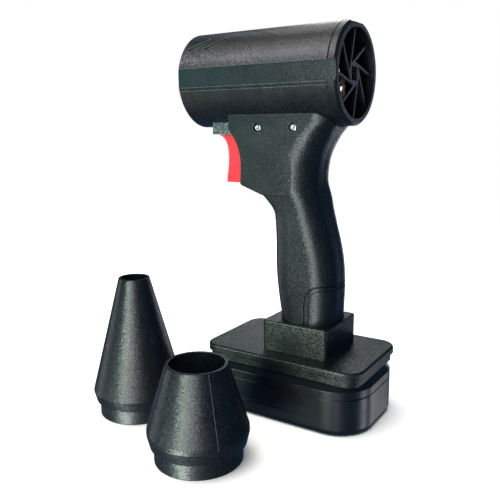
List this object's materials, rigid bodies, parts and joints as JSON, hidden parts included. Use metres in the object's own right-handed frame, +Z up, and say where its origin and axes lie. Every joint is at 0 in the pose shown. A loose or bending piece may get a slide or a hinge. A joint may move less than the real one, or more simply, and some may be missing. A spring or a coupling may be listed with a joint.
{
  "type": "cordless car dryer blower",
  "caption": "Pistol-grip cordless blower for drying cars: a ducted fan in a barrel, a red trigger, a slide-on tool battery, and push-in nozzles standing beside it.",
  "frame": {"origin": "centre of the battery's footprint on the floor", "axes": "+Z up, +X towards the air intake, the outlet nose towards -X, the nozzles stand on the -Y side"},
  "size_m": [0.1885, 0.1743, 0.267],
  "materials": {
    "black_print": "3D-printed black plastic with a fine sparkle",
    "grip_print": "3D-printed black plastic with a fine sparkle",
    "adapter_print": "3D-printed black plastic with a coarser sparkle",
    "nozzle_print": "3D-printed black plastic with fine layer lines",
    "trigger_red": "satin red plastic",
    "case_black": "smooth moulded black plastic with a low sheen",
    "latch_black": "moulded black plastic",
    "duct_print": "printed dark grey plastic",
    "impeller_plastic": "moulded black plastic",
    "screw_steel": "bright socket screws",
    "shaft_steel": "ground steel",
    "motor_aluminium": "turned aluminium",
    "sink_aluminium": "grey extruded aluminium",
    "winding_copper": "enamelled copper wire",
    "magnet_nickel": "nickel-plated magnets",
    "contact_brass": "brass contacts",
    "board_teal": "green-blue circuit board",
    "chip_black": "black chip bodies",
    "capacitor_sleeve": "dark sleeved capacitors",
    "lead_red": "red silicone insulation",
    "lead_black": "black silicone insulation",
    "lead_grey": "dark silicone insulation",
    "cell_wrap": "shrink-wrapped cells",
    "holder_black": "moulded black holders",
    "spring_steel": "spring steel",
    "switch_black": "black switch case"
  },
  "bodies": {
    "housing": {"barrel_shell": "black_print", "intake_guard": "black_print", "fan_duct": "duct_print", "tail_cone": "duct_print", "motor_housing": "motor_aluminium", "motor_end_cap": "motor_aluminium", "motor_windings": "winding_copper", "motor_bearings": "shaft_steel", "motor_screws": "screw_steel", "controller_board": "board_teal", "controller_heatsink": "sink_aluminium", "controller_transistors": "chip_black", "controller_capacitors": "capacitor_sleeve", "power_lead_red": "lead_red", "power_lead_black": "lead_black", "phase_leads": "lead_grey", "grip_left_shell": "grip_print", "grip_right_shell": "grip_print", "grip_screws": "screw_steel", "grip_rear_cover": "grip_print", "trigger_shroud": "grip_print", "switch_body": "switch_black", "trigger_spring": "spring_steel", "adapter_plate": "adapter_print", "adapter_screws": "screw_steel", "terminal_block": "holder_black", "terminal_blades": "contact_brass"},
    "rotor": {"impeller": "impeller_plastic", "motor_shaft": "shaft_steel", "motor_magnets": "magnet_nickel", "spinner": "motor_aluminium", "spinner_nut": "shaft_steel"},
    "trigger_group": {"trigger": "trigger_red", "switch_plunger": "switch_black"},
    "battery": {"battery_lower_case": "case_black", "battery_upper_case": "case_black", "battery_cells": "cell_wrap", "cell_holder_left": "holder_black", "cell_holder_right": "holder_black", "battery_board": "board_teal", "battery_clips": "contact_brass", "case_screws": "screw_steel", "latch_springs": "spring_steel"},
    "latch": {"battery_latch": "latch_black"},
    "narrow_nozzle_group": {"narrow_nozzle": "nozzle_print"},
    "wide_nozzle_group": {"wide_nozzle": "nozzle_print"}
  },
  "joints": [
    {"name": "rotor_spin", "type": "hinge", "parent": "housing", "child": "rotor", "pos_m": [0, 0, 0.234], "axis": [1, 0, 0], "continuous": true},
    {"name": "trigger_pull", "type": "slide", "parent": "housing", "child": "trigger_group", "axis": [1, 0, 0], "range_m": [0, 0.006], "stiffness_N_per_m": 400, "springref_m": -0.004, "deforming": ["trigger_spring"]},
    {"name": "battery_slide", "type": "slide", "parent": "housing", "child": "battery", "axis": [-1, 0, 0], "range_m": [0, 0.075]},
    {"name": "latch_press", "type": "slide", "parent": "battery", "child": "latch", "axis": [0, 0, -1], "range_m": [0, 0.002], "stiffness_N_per_m": 800, "springref_m": -0.001, "deforming": ["latch_springs"]},
    {"name": "narrow_nozzle_lift", "type": "slide", "parent": "housing", "child": "narrow_nozzle_group", "axis": [0, 0, 1], "range_m": [0, 0.12]},
    {"name": "wide_nozzle_lift", "type": "slide", "parent": "housing", "child": "wide_nozzle_group", "axis": [0, 0, 1], "range_m": [0, 0.1]}
  ]
}
